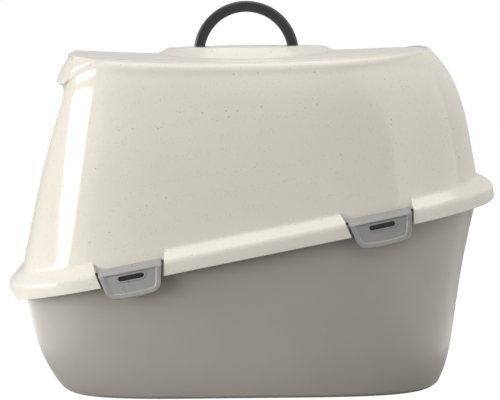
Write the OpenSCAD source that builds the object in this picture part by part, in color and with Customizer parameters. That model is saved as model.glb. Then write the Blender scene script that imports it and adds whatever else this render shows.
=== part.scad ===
// Hooded litter box: a base pan, a hood held down by four clips, a swing door
// under a visor, a folding half-ring handle on a raised crown, and a filter
// behind the crown's vents. The front faces -Y, the ground is z = 0.

/* [Overall] */
// Length over the rim
body_len = 587; // [570:1:605]
// Width over the rim
body_w = 390; // [370:1:410]
// Wall of the mouldings
wall = 2.6; // [2.2:0.1:3]
// Squareness of the outline's front corners
front_square = 5; // [4:0.1:6]
// Squareness of the outline's rear corners
rear_square = 4.5; // [4:0.1:6]
// How closely points crowd round the outline's corners
crowding = 2.2; // [1.6:0.1:2.6]

/* [Parting rim] */
// Height of the rim's lower edge at mid-length
rim_mid = 173; // [165:1:180]
// Slope of the rim, rising to the rear
rim_angle = 11.3; // [9:0.1:12]
// Height of the rim's upright face
rim_face = 16; // [15:0.5:18]
// How far the rim's face leans in over its height
rim_lean = 2; // [1:0.5:3]
// Width of the sloping ledge above the face
ledge_in = 14; // [13:0.5:16]
// Height of the sloping ledge
ledge_h = 11; // [10:0.5:13]

/* [Base pan] */
// Base wall inside the rim's edge, at the front
base_front_in = 17.5; // [16:0.5:20]
// Base wall inside the rim's edge, at the rear
base_rear_in = 17; // [16:0.5:20]
// Base wall inside the rim's edge, at the sides
base_side_in = 17; // [16:0.5:20]
// Even taper of the front wall
front_taper = 22; // [18:1:26]
// Extra turn-in at the front wall's foot
front_tuck = 20; // [14:1:24]
// Hollow taper of the rear wall
rear_taper = 29; // [24:1:32]
// Extra turn-in at the rear wall's foot
rear_tuck = 14; // [10:1:20]
// Taper of the side walls
side_taper = 8; // [5:1:12]
// Extra turn-in at the side walls' foot
side_tuck = 8; // [5:1:12]
// Height of the step that the pan stands on
foot_h = 2.5; // [2:0.5:4]
// Width of the step round the foot
foot_in = 3; // [2:0.5:5]
// Width of the tread that the pan stands on
tread = 8; // [6:0.5:12]
// Height of the pan's underside inside the tread
recess = 1.2; // [0.8:0.1:2]
// Depth of the lip under the base flange
lip_h = 8.6; // [7:0.1:8.8]
// Thickness of the base flange
flange_t = 2.8; // [2.4:0.1:3.2]

/* [Hood] */
// Extra width of the ledge at the front
front_ledge = 1; // [0:0.5:3]
// Extra width of the ledge at the rear
rear_ledge = 4; // [2:0.5:6]
// Even inward lean of the front
front_lean = 46; // [42:1:50]
// Extra inward turn at the front's top
front_turn = 5.5; // [3:0.5:8]
// Even inward lean of the rear
rear_lean = 28; // [24:1:32]
// Extra inward turn at the rear's top
rear_turn = 30.5; // [26:0.5:34]
// Even inward lean of the sides
side_lean = 20; // [17:1:23]
// Extra inward turn at the sides' top
side_turn = 8; // [5:0.5:10]
// How late the walls turn in towards the top
turn_power = 4.4; // [3.5:0.1:5.5]
// Width of the rounded shoulder
shoulder_w = 11; // [9:0.5:13]
// Height of the rounded shoulder
shoulder_h = 10; // [8:0.5:12]
// Height of the roof's long edge at its lowest
roof_edge = 390; // [380:1:400]
// Rise of the roof from its long edges to its ridge
roof_arch = 9; // [6:0.5:12]
// Place of the roof's lowest point along the length
roof_low_y = -60; // [-80:1:-40]
// Rise of the roof's long edge at 100 mm from its lowest point
roof_sag = 1.7; // [1:0.1:2.2]
// How far the visor's lower edge lies under the roof
visor_drop = 41; // [38:1:46]
// Rise of the visor's underside from the front wall to its tip
visor_tip = 5; // [3:0.5:8]
// How far the visor's tip stands out
visor_out = 9; // [6:0.5:11]
// Distance of the roof's front edge behind the top of the front wall
visor_brow = 9; // [7:0.5:12]
// How far the visor's face bows out between its tip and the roof
visor_bow = 1.8; // [1:0.1:2.5]
// Distance of the visor's deepest line behind the top of the front wall
visor_back = 3; // [0:1:8]
// Length over which the visor dips
visor_len = 57; // [50:1:60]
// Distance of the faded shoulder's end from the top of the rear wall
tail_back = 13; // [5:1:20]
// Length over which the rear shoulder fades
tail_len = 62; // [55:1:70]

/* [Crown] */
// Place of the crown's middle along the length
crown_y = -3.5; // [-8:0.5:8]
// Radius of the crown's flat top
crown_r = 97; // [94:1:99]
// Width of the crown's flank
crown_flank = 14; // [11:1:16]
// Height of the crown's rim over the roof's long edge
crown_h = 17; // [15:0.5:19]
// Dome of the crown's top over its rim
crown_dome = 2.2; // [1.5:0.1:3]
// Rise of the crown's top to the rear, for each mm of length
crown_tilt = 0.013; // [0.008:0.001:0.016]
// Radius of the handle's well
well_r = 70; // [69.5:0.5:72]
// Radius of the vented island in the well
island_r = 50; // [46:0.5:51]
// Number of vent slots
vents = 9; // [5:2:11]
// Width of a vent slot
vent_w = 3; // [2.5:0.1:3.5]

/* [Handle] */
// Outer radius of the half ring
grip_r = 66; // [65:0.5:67]
// Width of the band
grip_band = 13.5; // [12:0.5:14.5]
// Thickness of the band
grip_t = 12; // [10:0.5:13]
// Radius of the band's long edges
grip_round = 3.5; // [2.5:0.5:4.5]
// Depth of the pivots under the crown's rim
grip_sink = 9.5; // [8:0.5:10.5]
// Diameter of the pivot pins
grip_pin_d = 6; // [5:0.5:7]

/* [Door] */
// Width of the doorway
door_w = 202; // [190:1:206]
// Height of the sill
sill_z = 160; // [155:1:170]
// Height of the doorway's top
lintel_z = 357; // [350:1:358]
// Radius of the doorway's lower corners
door_corner = 38; // [30:1:45]
// Radius of the doorway's upper corners
door_top_corner = 12; // [10:1:14]
// Height of the doorway above the door's pivots
door_head = 13; // [13:0.5:15]
// Gap between the door and the doorway
door_gap = 2.5; // [2:0.1:3.5]
// Thickness of the door's panel
door_t = 3; // [2.5:0.1:4]
// Width of the raised frame round the door
door_band = 7; // [5:0.5:10]
// How far the frame stands out from the panel
door_proud = 1.2; // [0.8:0.1:1.6]
// Diameter of the rod that carries the door
door_rod = 8; // [6.5:0.1:8.5]
// Diameter of the door's pivot pins
door_pin_d = 5; // [4:0.5:6]
// Distance of the door's pivots behind the rim's front edge
door_in = 86.5; // [85.5:0.5:88]
// Length of the duct behind the door's pivots
porch_deep = 13; // [11:1:19]

/* [Clips] */
// Distance of the front clips from mid-length
clip_front = 138; // [125:1:142]
// Distance of the rear clips from mid-length
clip_rear = 144; // [130:1:148]
// Width of a clip at its top
clip_w = 73; // [66:1:78]
// Taper of a clip's sides
clip_taper = 12; // [8:0.5:14]
// Depth of a clip below the rim's lower edge
clip_drop = 15; // [13:0.5:18]
// Wall of a clip
clip_t = 2.8; // [2.4:0.1:3.2]
// How far a clip's foot flares out
clip_flare = 1.8; // [1:0.1:2.4]
// Height of the bend under a clip's sloping top, over the rim's lower edge
clip_bend = 14.4; // [14:0.1:14.8]
// Reach of a clip's top past its pivots
clip_leaf = 5.2; // [4.8:0.1:5.4]
// Radius of the barrel that a clip turns on
barrel_r = 2.4; // [2.4:0.1:2.7]
// Diameter of a clip's pivot pins
clip_pin_d = 3.2; // [2.8:0.1:3.4]
// Distance of the pivots from the rim's edge
pivot_in = 6.5; // [6.3:0.1:7.5]
// Height of the pivots over the rim's lower edge
pivot_h = 16; // [15.9:0.05:16.2]
// Radius of a clip's lower corners
clip_corner = 12; // [9:0.5:13]
// Length of the slot in a clip
slot_len = 29; // [20:1:34]
// Width of the slot in a clip
slot_w = 5.2; // [4:0.1:6]
// Height of the slot over the rim's lower edge
slot_h = 6.5; // [5:0.5:7.5]
// Width of the rib behind a clip, which bears against the flange's lip
rib_w = 26; // [20:1:34]

/* [Filter] */
// Thickness of the filter pad
pad_t = 8; // [5:0.5:10]
// Width of the holder's flange
holder_flange = 5; // [3:0.5:8]

/* [Fits] */
// Radial clearance of a pin in its hole
pin_clear = 0.08; // [0.05:0.01:0.1]
// Gap between pieces that rest on each other
seat_gap = 0.3; // [0.25:0.05:0.4]
// Gap between a clip and the notch that it sits in
notch_gap = 1.6; // [1.2:0.1:2]
// Play of a part that turns over a part that stands still
swing_gap = 0.8; // [0.6:0.1:1]

/* [Hidden] */
$fn = 64;
N = 80;
EPS = 0.01;
half_len = body_len / 2;
half_w = body_w / 2;
slope = tan(rim_angle);

// ---- outlines -------------------------------------------------------------
// A step from 0 to 1 that moves slowly at both ends
function ease(q) = pow(q, crowding) / (pow(q, crowding) + pow(1 - q, crowding));
// Angles round an outline, close together where a side is long and flat
ANGLES = [for (i = [0 : N - 1]) let (k = floor(4 * i / N)) 90 * (k + ease(4 * i / N - k))];
function power(v, n) = sign(v) * pow(abs(v), 2 / n);
// One closed outline: half width, front and rear half lengths
function outline(w, f, r, nf = front_square, nr = rear_square) =
    [for (t = ANGLES)
        let (s = abs(sin(t)) < EPS / 100 ? 0 : sin(t), c = abs(cos(t)) < EPS / 100 ? 0 : cos(t))
        s < 0 ? [w * power(c, nf), f * power(s, nf)] : [w * power(c, nr), r * power(s, nr)]];
function mix(a, b, k) = a + (b - a) * k;

// ---- heights --------------------------------------------------------------
function rim_z(y) = rim_mid + slope * y;
function roof_z(x, y) = roof_edge + roof_sag * pow((y - roof_low_y) / 100, 2)
    + roof_arch * (1 - pow(x / edge_w, 2));
function visor(y) = pow(max(0, min(1, 1 - (top_f - visor_back + y) / visor_len)), 2);
function tail(y) = pow(max(0, min(1, 1 - (top_r - tail_back - y) / tail_len)), 2);
// The edge that runs along the roof and dips round the visor
function crease_z(x, y) = roof_z(x, y) - visor_drop * visor(y);
// x and y are measured from the crown's middle
function crown_top(x, y) = crown_z + crown_dome * (1 - (x * x + y * y) / pow(crown_r, 2))
    + crown_tilt * y;

// ---- hood -----------------------------------------------------------------
// Height of the fine step inside the roof's edge
STEP = 0.8;
ledge_top = rim_face + ledge_h;
foot_w = half_w - rim_lean - ledge_in;
foot_f = half_len - rim_lean - ledge_in - front_ledge;
foot_r = half_len - rim_lean - ledge_in - rear_ledge;
hood_front = [front_lean, front_turn];
hood_rear = [rear_lean, rear_turn];
hood_side = [side_lean, side_turn];
function lean(k, s) = k[0] * s + k[1] * pow(s, turn_power);
top_w = foot_w - lean(hood_side, 1);
top_f = foot_f - lean(hood_front, 1);
top_r = foot_r - lean(hood_rear, 1);
edge_w = top_w - shoulder_w;
crown_base = crown_r + crown_flank;
crown_z = roof_edge + crown_h;
grip_z = crown_z - grip_sink;
// The inner corner of the rim's section, from its two outer lines moved in by the wall
face_dir = [-rim_lean, rim_face] / norm([rim_lean, rim_face]);
ledge_dir = [-ledge_in, ledge_h] / norm([ledge_in, ledge_h]);
inner_corner = [-rim_lean, rim_face] + wall * (ledge_dir - face_dir)
    / (face_dir[0] * ledge_dir[1] - face_dir[1] * ledge_dir[0]);
ledge_rise = ledge_h / ledge_in;
// Height, over the rim's plane, of the inside of the ledge at the wall
inner_top = inner_corner[1] + (half_w + inner_corner[0] - foot_w + wall) * ledge_rise;
// The corner is thickened downwards, and rests on the base's flange
rim_pad = 2.2;
inner_edge = inner_corner - [0, rim_pad];
inner_rise = (inner_top - inner_edge[1]) / (half_w + inner_edge[0] - foot_w + wall);
// The base's flange, whose outer edge lies just inside and under the rim's inner corner
flange_in = -inner_edge[0] + 0.5;
flange_top = inner_edge[1] + (flange_in + inner_edge[0]) * inner_rise
    - seat_gap * norm([1, inner_rise]);
lip_under = flange_top - flange_t - lip_h;

// A ring at a fixed height over the rim's plane
function rim_ring(w, f, r, h) = [for (p = outline(w, f, r)) [p[0], p[1], rim_z(p[1]) + h]];
function edge_ring(in, h) = rim_ring(half_w - in, half_len - in, half_len - in, h);
function shoulder_z(x, y) = crease_z(x, y) - shoulder_h * (1 - visor(y)) * (1 - tail(y));
// A ring of the wall: s runs from the ledge to the shoulder, t is the depth in the wall
function wall_ring(s, t) =
    [for (p = outline(foot_w - lean(hood_side, s) - t, foot_f - lean(hood_front, s) - t,
                      foot_r - lean(hood_rear, s) - t))
        [p[0], p[1], mix(rim_z(p[1]) + ledge_top, shoulder_z(p[0], p[1]), s)]];
// A ring of the shoulder: a is the angle turned, t the depth in the wall
function shoulder_ring(a, t) =
    [for (p = outline(top_w - shoulder_w * (1 - cos(a)) - t * cos(a), top_f - t,
                      top_r - t * cos(a)))
        [p[0], p[1], mix(shoulder_z(p[0], p[1]), crease_z(p[0], p[1]), sin(a)) - t * sin(a)]];
// A ring of the visor's face, which stands out from the roof's edge only at the front: k is
// 0 at the visor's tip and 1 at the roof
function visor_ring(k) =
    let (sink = mix(STEP / 2, STEP, k), out = mix(visor_out, -visor_brow, k) + 4 * visor_bow * k * (1 - k))
    [for (p = outline(edge_w - sink, top_f + out, top_r - sink))
        let (tip = crease_z(p[0], p[1]) + STEP / 2 + visor_tip * visor(p[1]))
        [p[0], p[1], mix(tip, roof_z(p[0], p[1]) - STEP, k)]];
function roof_ring(w, f, r, sink) =
    [for (p = outline(w, f, r)) [p[0], p[1], roof_z(p[0], p[1]) - sink]];
function round_ring(r, sink, raised) =
    [for (t = ANGLES)
        let (x = r * cos(t), y = r * sin(t))
        [x, y + crown_y, (raised ? crown_top(x, y) : roof_z(x, y + crown_y)) - sink]];

// A closed skin through rings that all have N points, with a pole at each end
module skin(rings, first, last) {
    flat = [for (ring = rings) each ring];
    count = len(rings);
    pole = count * N;
    strips = [for (k = [0 : count - 2], i = [0 : N - 1])
        let (a = k * N + i, b = k * N + (i + 1) % N)
        each [[a, b + N, b], [a, a + N, b + N]]];
    start = [for (i = [0 : N - 1]) [pole, i, (i + 1) % N]];
    end = [for (i = [0 : N - 1]) [(count - 1) * N + i, pole + 1, (count - 1) * N + (i + 1) % N]];
    polyhedron(points = concat(flat, [first, last]), faces = concat(strips, start, end));
}

module hood_shell() {
    t = wall;
    inner = [
        round_ring(crown_r - t, t, true),
        round_ring(crown_base - t, t + STEP, false),
        roof_ring(edge_w - t, top_f - 2 * t, top_r - 2 * t, t + STEP),
        shoulder_ring(45, t),
        for (s = [1, 0.8, 0.55, 0.3]) wall_ring(s, t),
        rim_ring(foot_w - t, foot_f - t, foot_r - t, inner_top),
        edge_ring(-inner_edge[0], inner_edge[1]),
        edge_ring(t, 0)
    ];
    outer = [
        edge_ring(0, 0),
        edge_ring(rim_lean, rim_face),
        wall_ring(0, 0),
        for (s = [0.12, 0.3, 0.5, 0.68, 0.84, 0.94, 1]) wall_ring(s, 0),
        for (a = [30, 60, 90]) shoulder_ring(a, 0),
        for (k = [0, 0.3, 0.65, 1]) visor_ring(k),
        round_ring(crown_base, STEP, false),
        round_ring(crown_r, 0, true)
    ];
    skin(concat(inner, outer), [0, crown_y, crown_top(0, 0) - t], [0, crown_y, crown_top(0, 0)]);
}

// A rectangle with two lower and two upper corner radii, standing on y = 0
module panel(w, h, low, high) {
    translate([-w / 2, low])
    square([w, h - low - high]);
    for (end = [[low, low], [h - high, high]])
        translate([-w / 2 + end[1], end[0] - end[1]])
        square([w - 2 * end[1], 2 * end[1]]);
    for (side = [-1, 1], end = [[low, low], [h - high, high]])
        translate([side * (w / 2 - end[1]), end[0]])
        circle(r = end[1]);
}

// Turns a flat shape drawn in X and Z so that it spans from y to y + deep
module upright(y, deep) {
    translate([0, y + deep, 0])
    rotate([90, 0, 0])
    linear_extrude(deep)
    children();
}

// ---- handle well and filter bay -------------------------------------------
well_floor = grip_z - grip_t / 2 - swing_gap;
well_under = well_floor - wall;
well_wall = 3;
// The well's wall stops inside the crown's skin
well_top = crown_z - 2;
boss_w = 16;
boss_deep = 9;
// How much of a boss is left past its pin, and the step between a hub and the band
boss_skin = 4;
hub_step = 0.6;
grip_mid = grip_r - grip_band / 2;
bay_r = island_r - wall;
// The island's underside lies a little deeper than its wall, and its vents end inside its edge
bay_top = crown_z - wall - 0.4;
vent_edge = 4;
vent_pitch = 2 * (bay_r - vent_edge - 2) / vents;

module well_body() {
    translate([0, 0, well_under])
    cylinder(r = well_r + well_wall, h = well_top - well_under);
    for (side = [-1, 1])
        translate([-boss_w / 2, side * (well_r + boss_deep / 2) - boss_deep / 2, well_under])
        cube([boss_w, boss_deep, well_top - well_under]);
}

module well_cut() {
    translate([0, 0, well_floor])
    difference() {
        cylinder(r = well_r, h = 2 * crown_h);
        translate([0, 0, -1])
        cylinder(r = island_r, h = 2 * crown_h + 2);
    }
    for (side = [-1, 1])
        translate([0, side * (well_r + boss_deep / 2 - 1.5), grip_z])
        rotate([90, 0, 0])
        cylinder(d = grip_pin_d + 2 * pin_clear, h = boss_deep, center = true);
    translate([0, 0, well_under - 1])
    cylinder(r = bay_r, h = bay_top - well_under + 1);
    for (i = [0 : vents - 1])
        let (x = (i - (vents - 1) / 2) * vent_pitch, half = sqrt(pow(bay_r - vent_edge, 2) - x * x))
        translate([x - vent_w / 2, -half, bay_top - 1])
        cube([vent_w, 2 * half, crown_h]);
}

// ---- doorway --------------------------------------------------------------
porch_wall = 2.6;
hinge_z = lintel_z - door_head;
door_y = half_len - door_in;
porch_y = door_y - porch_deep;
hinge_boss = 10;
hinge_deep = 6;
// The middle of the front wall's thickness at a place on the front
front_z0 = rim_z(-foot_f) + ledge_top;
front_z1 = crease_z(0, -top_f);
function front_y(x, z) =
    let (s = max(0, min(1, (z - front_z0) / (front_z1 - front_z0))))
    -(foot_f - lean(hood_front, s) - wall / 2)
    * pow(1 - pow(abs(x) / (foot_w - lean(hood_side, s)), front_square), 1 / front_square);

module doorway_shape(grow) {
    translate([0, sill_z - grow])
    panel(door_w + 2 * grow, lintel_z - sill_z + 2 * grow, door_corner + grow, door_top_corner + grow);
}

// The space behind the middle of the front wall
module behind_front() {
    cols = 10;
    rows = 8;
    reach = door_w / 2 + 2 * hinge_deep;
    low = sill_z - 2 * hinge_deep;
    high = lintel_z + hinge_deep;
    // outward face first, then the flat back
    pts = [for (back = [0, 1], j = [0 : rows], i = [0 : cols])
        let (x = mix(-reach, reach, i / cols), z = mix(low, high, j / rows))
        [x, back == 1 ? -porch_y : front_y(x, z), z]];
    w = cols + 1;
    layer = w * (rows + 1);
    face = [for (j = [0 : rows - 1], i = [0 : cols - 1])
        let (a = j * w + i)
        each [[a, a + w + 1, a + 1], [a, a + w, a + w + 1]]];
    back = [for (f = face) [f[0] + layer, f[2] + layer, f[1] + layer]];
    loop = concat([for (i = [0 : cols]) i], [for (j = [1 : rows]) j * w + cols],
                  [for (i = [1 : cols]) rows * w + cols - i], [for (j = [1 : rows - 1]) (rows - j) * w]);
    side = [for (k = [0 : len(loop) - 1])
        let (a = loop[k], b = loop[(k + 1) % len(loop)])
        each [[a, b, b + layer], [a, b + layer, a + layer]]];
    polyhedron(points = pts, faces = concat(face, back, side));
}

module porch() {
    intersection() {
        upright(-half_len, half_len - porch_y)
        difference() {
            doorway_shape(porch_wall);
            doorway_shape(0);
        }
        behind_front();
    }
    for (side = [-1, 1])
        translate([side * (door_w / 2 + hinge_deep / 2 + 0.5), -door_y, hinge_z])
        rotate([0, 90, 0])
        cylinder(d = hinge_boss, h = hinge_deep - 1, center = true);
}

module doorway_cut() {
    upright(-half_len - 1, half_len + 1 - porch_y - 1)
    doorway_shape(0);
    for (side = [-1, 1])
        translate([side * (door_w / 2 + hinge_deep / 2 - 1), -door_y, hinge_z])
        rotate([0, 90, 0])
        cylinder(d = door_pin_d + 2 * pin_clear, h = hinge_deep, center = true);
}

// ---- clips ----------------------------------------------------------------
clip_web = 3;
pin_reach = 2.6;
// The rim's edge, and the turn of its edge in plan, at a place along the length
function clip_x(y, n) = half_w * pow(1 - pow(y / half_len, n), 1 / n);
function clip_turn(y, n) = atan(half_w / half_len * pow(y / half_len, n - 1)
    * pow(1 - pow(y / half_len, n), 1 / n - 1));

// Turns its children to the rim: X outward, Y along the rim to the rear, z = 0 on its plane
module at_clip(side, end) {
    n = end < 0 ? front_square : rear_square;
    y = end < 0 ? clip_front : clip_rear;
    mirror([side < 0 ? 1 : 0, 0, 0])
    translate([0, 0, rim_mid])
    rotate([rim_angle, 0, 0])
    translate([clip_x(y, n), end * y / cos(rim_angle), 0])
    rotate([0, 0, end * clip_turn(y, n)])
    children();
}

// Half width of a clip at a height over the rim's plane
function clip_half(h) = clip_w / 2 - (ledge_top - ledge_h / 2 - h) * tan(clip_taper);

// Stretches a flat shape drawn in the rim's Y and Z from x to x + deep
module across(x, deep) {
    translate([x, 0, 0])
    rotate([90, 0, 90])
    linear_extrude(deep)
    children();
}

// Stretches a flat shape drawn in the rim's X and Z over a width
module along(width) {
    rotate([90, 0, 0])
    linear_extrude(width, center = true)
    children();
}

// The wall goes on down behind a clip, as the floor of its notch: its outer line in the
// rim's X and Z, from just under the base's flange to just over the ledge
recess_low = [foot_w - half_w + 0.9 * wall, flange_top - 1];
recess_high = [foot_w - half_w - 0.4 * wall, ledge_top + 1.2];

// What a notch takes from the rim, between tapered sides
module notch() {
    low = -5;
    high = recess_high[1];
    intersection() {
        across(recess_high[0] - 1, ledge_top + 10)
        polygon([[-clip_half(low) - notch_gap, low], [clip_half(low) + notch_gap, low],
                 [clip_half(high) + notch_gap, high], [-clip_half(high) - notch_gap, high]]);
        along(2 * clip_w)
        polygon([recess_low, recess_high, [ledge_top, high + 1], [ledge_top, low - 1],
                 [recess_low[0], low - 1]]);
    }
}

// The floor of a notch, drawn thicker and wider than it stays: the notch trims its outside
module notch_floor() {
    low = flange_top + 2 * seat_gap;
    wide = notch_gap + clip_web / 2;
    intersection() {
        across(2 * recess_high[0], -2 * recess_high[0])
        polygon([[-clip_half(low) - wide, low], [clip_half(low) + wide, low],
                 [clip_half(ledge_top) + wide, ledge_top], [-clip_half(ledge_top) - wide, ledge_top]]);
        along(2 * clip_w)
        polygon([[recess_low[0] - wall, low - 1], recess_high - [wall, 2.5], recess_high - [0, 3.5],
                 [recess_low[0] + 1.2, ledge_top - 5], [recess_low[0] + 1.2, low - 1]]);
    }
}

// The two webs beside a notch, which carry the clip's pins and stand over the flange. They
// are drawn from the clip's sides, and the notch then cuts them.
module notch_webs() {
    low = flange_top + seat_gap;
    high = ledge_top;
    deep = notch_gap + clip_web;
    into = wall / 2;
    back = foot_w - half_w - into;
    intersection() {
        across(back, -back)
        for (side = [-1, 1])
            polygon([for (q = [[0, low], [deep, low], [deep, high], [0, high]])
                [side * (clip_half(q[1]) + q[0]), q[1]]]);
        along(2 * clip_w)
        polygon([[inner_edge[0] + into, low],
                 [inner_corner[0] + into / 2, inner_corner[1] + into],
                 [back, inner_top + into],
                 [back, low]]);
    }
}

module pivot_bores() {
    for (side = [-1, 1])
        translate([-pivot_in, side * (clip_half(pivot_h) + notch_gap + clip_web / 2), pivot_h])
        rotate([90, 0, 0])
        cylinder(d = clip_pin_d + 2 * pin_clear, h = clip_web + 1, center = true);
}

function arc(c, r, from, to, steps = 7) =
    [for (k = [0 : steps]) let (a = mix(from, to, k / steps)) [c[0] + r * cos(a), c[1] + r * sin(a)]];

// The outline of a clip's face, with rounded lower corners and a bowed foot
module clip_outline() {
    cz = -clip_drop + clip_corner;
    cy = clip_half(cz) - clip_corner / cos(clip_taper);
    top = ledge_top;
    right = arc([cy, cz], clip_corner, -clip_taper, -90);
    polygon(concat([[clip_half(top), top]], right, [[0, -clip_drop - foot_bow]],
                   [for (k = [len(right) - 1 : -1 : 0]) [-right[k][0], right[k][1]]],
                   [[-clip_half(top), top]]));
}

// Points of the clip's section, in the rim's X and Z
pivot = [-pivot_in, pivot_h];
leaf_up = 50;
leaf = pivot + clip_leaf * [-cos(leaf_up), sin(leaf_up)];
leaf_t = 0.9;
face_x = 1.2;
toe_h = 4;
foot_bow = 1;
bend = [face_x, clip_bend];
toe = [face_x + clip_flare, toe_h - clip_drop];
lip = [face_x + 1.8 * clip_flare, -clip_drop - foot_bow - 1];
// The rib behind a clip, which stands beside the flange's lip under the slot
rib_top = lip_under + 2;
rib_tip = -flange_in + seat_gap;
rib_t = 1.6;
rib_root = 4.2;

module clip() {
    t = clip_t;
    difference() {
        union() {
            intersection() {
                across(2 * leaf[0], 4 * pivot_in - 2 * leaf[0])
                clip_outline();
                along(2 * clip_w)
                polygon([leaf, bend, toe, lip, lip - [t, 0], toe - [t, 0], bend - [t, t / 2],
                         pivot, leaf - [leaf_t / 2, leaf_t]]);
            }
            rotate([90, 0, 0])
            translate([-pivot_in, pivot_h, 0]) {
                cylinder(r = barrel_r, h = 2 * clip_half(pivot_h) - 1, center = true);
                cylinder(d = clip_pin_d, h = 2 * (clip_half(pivot_h) + notch_gap + pin_reach), center = true);
            }
            along(rib_w)
            polygon([[face_x - t / 2, rib_top], [rib_tip, rib_top], [rib_tip, rib_top - rib_t],
                     [face_x - t / 2, rib_top - rib_root]]);
        }
        across(-pivot_in, 2 * pivot_in)
        translate([0, slot_h]) {
            square([slot_len - slot_w, slot_w], center = true);
            for (side = [-1, 1])
                translate([side * (slot_len - slot_w) / 2, 0])
                circle(d = slot_w);
        }
    }
}

module placed_clip(side, end) {
    color([0.56, 0.57, 0.56])
    at_clip(side, end)
    clip();
}
module clip_front_right() { placed_clip(1, -1); }
module clip_front_left() { placed_clip(-1, -1); }
module clip_rear_right() { placed_clip(1, 1); }
module clip_rear_left() { placed_clip(-1, 1); }

// ---- hood, all together ---------------------------------------------------
module hood() {
    color([0.87, 0.86, 0.82])
    difference() {
        union() {
            hood_shell();
            for (side = [-1, 1], end = [-1, 1])
                at_clip(side, end) {
                    notch_webs();
                    notch_floor();
                }
            translate([0, crown_y, 0])
            well_body();
            porch();
        }
        for (side = [-1, 1], end = [-1, 1])
            at_clip(side, end) {
                notch();
                pivot_bores();
            }
        translate([0, crown_y, 0])
        well_cut();
        doorway_cut();
    }
}

// ---- base pan -------------------------------------------------------------
base_w = half_w - base_side_in;
base_f = half_len - base_front_in;
base_r = half_len - base_rear_in;
base_front = [front_taper, front_tuck];
base_rear = [rear_taper, rear_tuck];
base_side = [side_taper, side_tuck];
// How the walls lean and tuck in: the powers of the even taper and of the tuck at the foot
front_powers = [1, 4];
rear_powers = [2, 8];
side_powers = [1.5, 6];
// Reach of the slope between the pan's floor and its walls
floor_fillet = 4;
function turn_in(k, powers, s) = k[0] * (1 - pow(s, powers[0])) + k[1] * pow(1 - s, powers[1]);
// A ring of the pan's wall: s runs from the foot to the flange, in is the depth in the wall
function base_ring(s, in) =
    [for (p = outline(base_w - turn_in(base_side, side_powers, s) - in,
                      base_f - turn_in(base_front, front_powers, s) - in,
                      base_r - turn_in(base_rear, rear_powers, s) - in))
        [p[0], p[1], mix(foot_h, rim_z(p[1]) + flange_top - flange_t, s)]];
function floor_outline(in) = [for (p = base_ring(0, in)) [p[0], p[1]]];
function floor_ring(in, z) = [for (p = floor_outline(in)) [p[0], p[1], z]];

floor_z = recess + wall;
module pan_shell() {
    t = wall;
    skin([
        floor_ring(t + floor_fillet, floor_z),
        for (s = [0.03, 0.08, 0.16, 0.3, 0.5, 0.75, 1]) base_ring(s, t),
        [for (p = base_ring(1, t)) [p[0], p[1], rim_z(p[1]) + flange_top]],
        edge_ring(flange_in, flange_top),
        edge_ring(flange_in, lip_under),
        edge_ring(flange_in + flange_t, lip_under),
        edge_ring(flange_in + flange_t, flange_top - flange_t),
        for (s = [1, 0.85, 0.7, 0.55, 0.4, 0.28, 0.18, 0.1, 0.05, 0]) base_ring(s, 0),
        floor_ring(foot_in, foot_h),
        floor_ring(foot_in, -recess)
    ], [0, 0, floor_z], [0, 0, -recess]);
}

module base_pan() {
    color([0.58, 0.57, 0.54])
    difference() {
        pan_shell();
        // the flat tread, and the underside inside it
        translate([-half_w, -half_len, -2 * recess])
        cube([body_w, body_len, 2 * recess]);
        translate([0, 0, -recess / 2])
        linear_extrude(1.5 * recess)
        polygon(floor_outline(foot_in + tread));
    }
}

// ---- swing door -----------------------------------------------------------
module swing_door() {
    w = door_w - 2 * door_gap;
    low = sill_z + door_gap;
    head = door_head - door_gap;
    h = hinge_z + head - low;
    band = door_band;
    proud = door_proud;
    color([0.33, 0.33, 0.34, 0.75])
    union() {
        upright(-door_y - door_t / 2, door_t)
        translate([0, low])
        panel(w, h, door_corner - door_gap, head - 1);
        upright(-door_y - door_t / 2 - proud, door_t + 2 * proud)
        translate([0, low])
        difference() {
            panel(w, h, door_corner - door_gap, head - 1);
            translate([0, band])
            panel(w - 2 * band, h - 2 * band, door_corner - door_gap - band, 3);
        }
        translate([0, -door_y, hinge_z])
        rotate([0, 90, 0]) {
            cylinder(d = door_rod, h = w - 4, center = true);
            cylinder(d = door_pin_d, h = door_w + 2 * (hinge_deep - 2.5), center = true);
        }
    }
}

// ---- handle ---------------------------------------------------------------
module handle() {
    round = grip_round;
    color([0.17, 0.17, 0.17])
    translate([0, crown_y, grip_z]) {
        rotate([90, 0, 90])
        rotate_extrude(angle = 180)
        translate([grip_mid, 0]) {
            square([grip_band - 2 * round, grip_t], center = true);
            square([grip_band, grip_t - 2 * round], center = true);
            for (a = [-1, 1], b = [-1, 1])
                translate([a * (grip_band / 2 - round), b * (grip_t / 2 - round)])
                circle(r = round);
        }
        for (side = [-1, 1])
            translate([0, side * grip_mid, 0])
            rotate([side * -90, 0, 0]) {
                translate([0, 0, hub_step - grip_band / 2])
                cylinder(d = grip_t - 2 * hub_step, h = grip_band - 2 * hub_step);
                cylinder(d = grip_pin_d, h = well_r + boss_deep - boss_skin - grip_mid);
            }
    }
}

// ---- filter ---------------------------------------------------------------
holder_r = bay_r - 0.4;
holder_wall = 2;
holder_t = 2.4;
holder_rise = 6;
holder_top = well_under - seat_gap;

module filter_pad() {
    color([0.12, 0.12, 0.12])
    translate([0, crown_y, holder_top])
    cylinder(r = holder_r - holder_wall - seat_gap, h = pad_t);
}

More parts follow.
